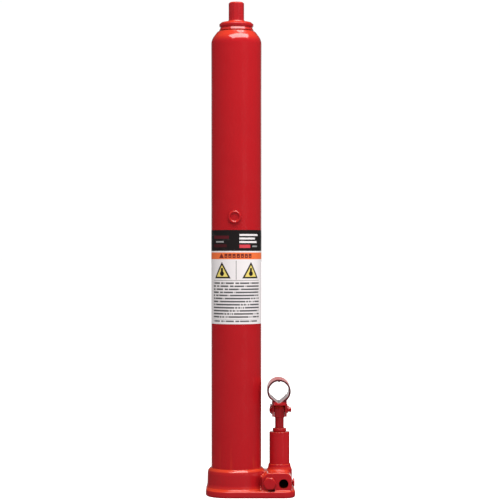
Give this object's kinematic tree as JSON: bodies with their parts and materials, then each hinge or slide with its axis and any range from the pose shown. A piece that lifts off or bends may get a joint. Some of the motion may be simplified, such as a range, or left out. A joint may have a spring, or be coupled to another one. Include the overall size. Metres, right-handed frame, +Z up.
{
  "type": "bottle jack",
  "caption": "Long-ram hydraulic bottle jack with a cast foot, tall reservoir tube, hand pump with a tubular handle socket, and a slotted release valve.",
  "frame": {"origin": "on the ram's axis at the underside of the foot", "axes": "+Z up along the ram, +X towards the pump, -Y towards the release valve and the handle"},
  "size_m": [0.1124, 0.0843, 0.62],
  "materials": {
    "base": "thick gloss red enamel over a sand casting",
    "reservoir_tube": "gloss red enamel over drawn steel tube",
    "top_nut": "gloss red enamel",
    "pump_barrel": "gloss red enamel",
    "pump_plunger": "gloss red enamel, bare steel below the gland",
    "handle_socket": "gloss red enamel over rolled sheet",
    "painted_fittings": "gloss red enamel",
    "filler_plug": "rubber oversprayed with red enamel",
    "label": "printed vinyl label",
    "ram_steel": "red enamel on the exposed end, ground steel inside",
    "machined_steel": "machined steel",
    "ball_steel": "polished bearing steel",
    "spring_steel": "oiled spring wire",
    "bronze": "sintered bronze",
    "copper": "soft copper",
    "seal_rubber": "nitrile rubber",
    "wiper": "rubber wiper oversprayed with red enamel"
  },
  "bodies": {
    "jack_body": {"base": "base", "reservoir_tube": "reservoir_tube", "cylinder_tube": "machined_steel", "top_nut": "top_nut", "neck_seal": "seal_rubber", "rod_guide": "bronze", "rod_seal": "seal_rubber", "rod_wiper": "wiper", "reservoir_gasket": "seal_rubber", "cylinder_gasket": "copper", "label": "label", "pump_barrel": "pump_barrel", "barrel_washer": "copper", "gland_nut": "painted_fittings", "gland_packing": "seal_rubber", "link_base_pin": "painted_fittings", "link_base_pin_clip": "painted_fittings", "relief_spring": "spring_steel", "relief_screw": "machined_steel", "relief_cap": "painted_fittings", "side_plug": "painted_fittings", "gallery_plug_1": "machined_steel", "gallery_plug_2": "machined_steel", "gallery_plug_3": "machined_steel", "inlet_cage": "machined_steel", "delivery_cage": "machined_steel", "delivery_spring": "spring_steel", "suction_strainer": "bronze"},
    "ram": {"ram_rod": "ram_steel", "piston": "machined_steel", "piston_guide_ring": "bronze", "piston_cup": "seal_rubber", "piston_nut": "machined_steel"},
    "plunger": {"pump_plunger": "pump_plunger", "plunger_seal": "seal_rubber", "socket_pin": "painted_fittings", "socket_pin_clip": "painted_fittings"},
    "socket": {"handle_socket": "handle_socket"},
    "link": {"fulcrum_link": "painted_fittings", "fulcrum_pin": "painted_fittings", "fulcrum_pin_clip": "painted_fittings", "link_spacer_right": "machined_steel", "link_spacer_left": "machined_steel"},
    "release_check": {"release_ball": "ball_steel"},
    "release_screw": {"release_spindle": "machined_steel", "release_o_ring": "seal_rubber"},
    "filler": {"filler_plug": "filler_plug"},
    "inlet_check": {"inlet_ball": "ball_steel"},
    "delivery_check": {"delivery_ball": "ball_steel"},
    "relief_check": {"relief_ball": "ball_steel"}
  },
  "joints": [
    {"name": "ram_lift", "type": "slide", "parent": "jack_body", "child": "ram", "axis": [0, 0, 1], "range_m": [0, 0.489]},
    {"name": "plunger_stroke", "type": "slide", "parent": "jack_body", "child": "plunger", "axis": [0, 0, 1], "range_m": [-0.0071, 0.0106]},
    {"name": "socket_swing", "type": "hinge", "parent": "plunger", "child": "socket", "pos_m": [0.0543, 0, 0.1062], "axis": [-1, 0, 0], "range_deg": [-20, 30]},
    {"name": "link_sway", "type": "hinge", "parent": "jack_body", "child": "link", "pos_m": [0.0543, 0.0235, 0.022], "axis": [1, 0, 0], "range_deg": [-0.5, 0.7]},
    {"name": "release_lift", "type": "slide", "parent": "jack_body", "child": "release_check", "axis": [0, -1, 0], "range_m": [0, 0.0025]},
    {"name": "release_turn", "type": "hinge", "parent": "release_check", "child": "release_screw", "pos_m": [0.059, -0.017, 0.0175], "axis": [0, -1, 0], "range_deg": [0, 720]},
    {"name": "filler_pull", "type": "slide", "parent": "jack_body", "child": "filler", "axis": [-0.0523, -0.9986, 0], "range_m": [0, 0.012]},
    {"name": "inlet_lift", "type": "slide", "parent": "jack_body", "child": "inlet_check", "axis": [0, 0, 1], "range_m": [0, 0.001]},
    {"name": "delivery_lift", "type": "slide", "parent": "jack_body", "child": "delivery_check", "axis": [0, 0, 1], "range_m": [0, 0.001], "deforming": ["delivery_spring"]},
    {"name": "relief_lift", "type": "slide", "parent": "jack_body", "child": "relief_check", "axis": [0, -1, 0], "range_m": [0, 0.0002]}
  ],
  "couplings": [
    {"joint": "plunger_stroke", "follows": "socket_swing", "m_per_rad": 0.020192},
    {"joint": "link_sway", "follows": "socket_swing", "ratio": 0.02},
    {"joint": "release_turn", "follows": "release_lift", "rad_per_m": 5026.5}
  ]
}
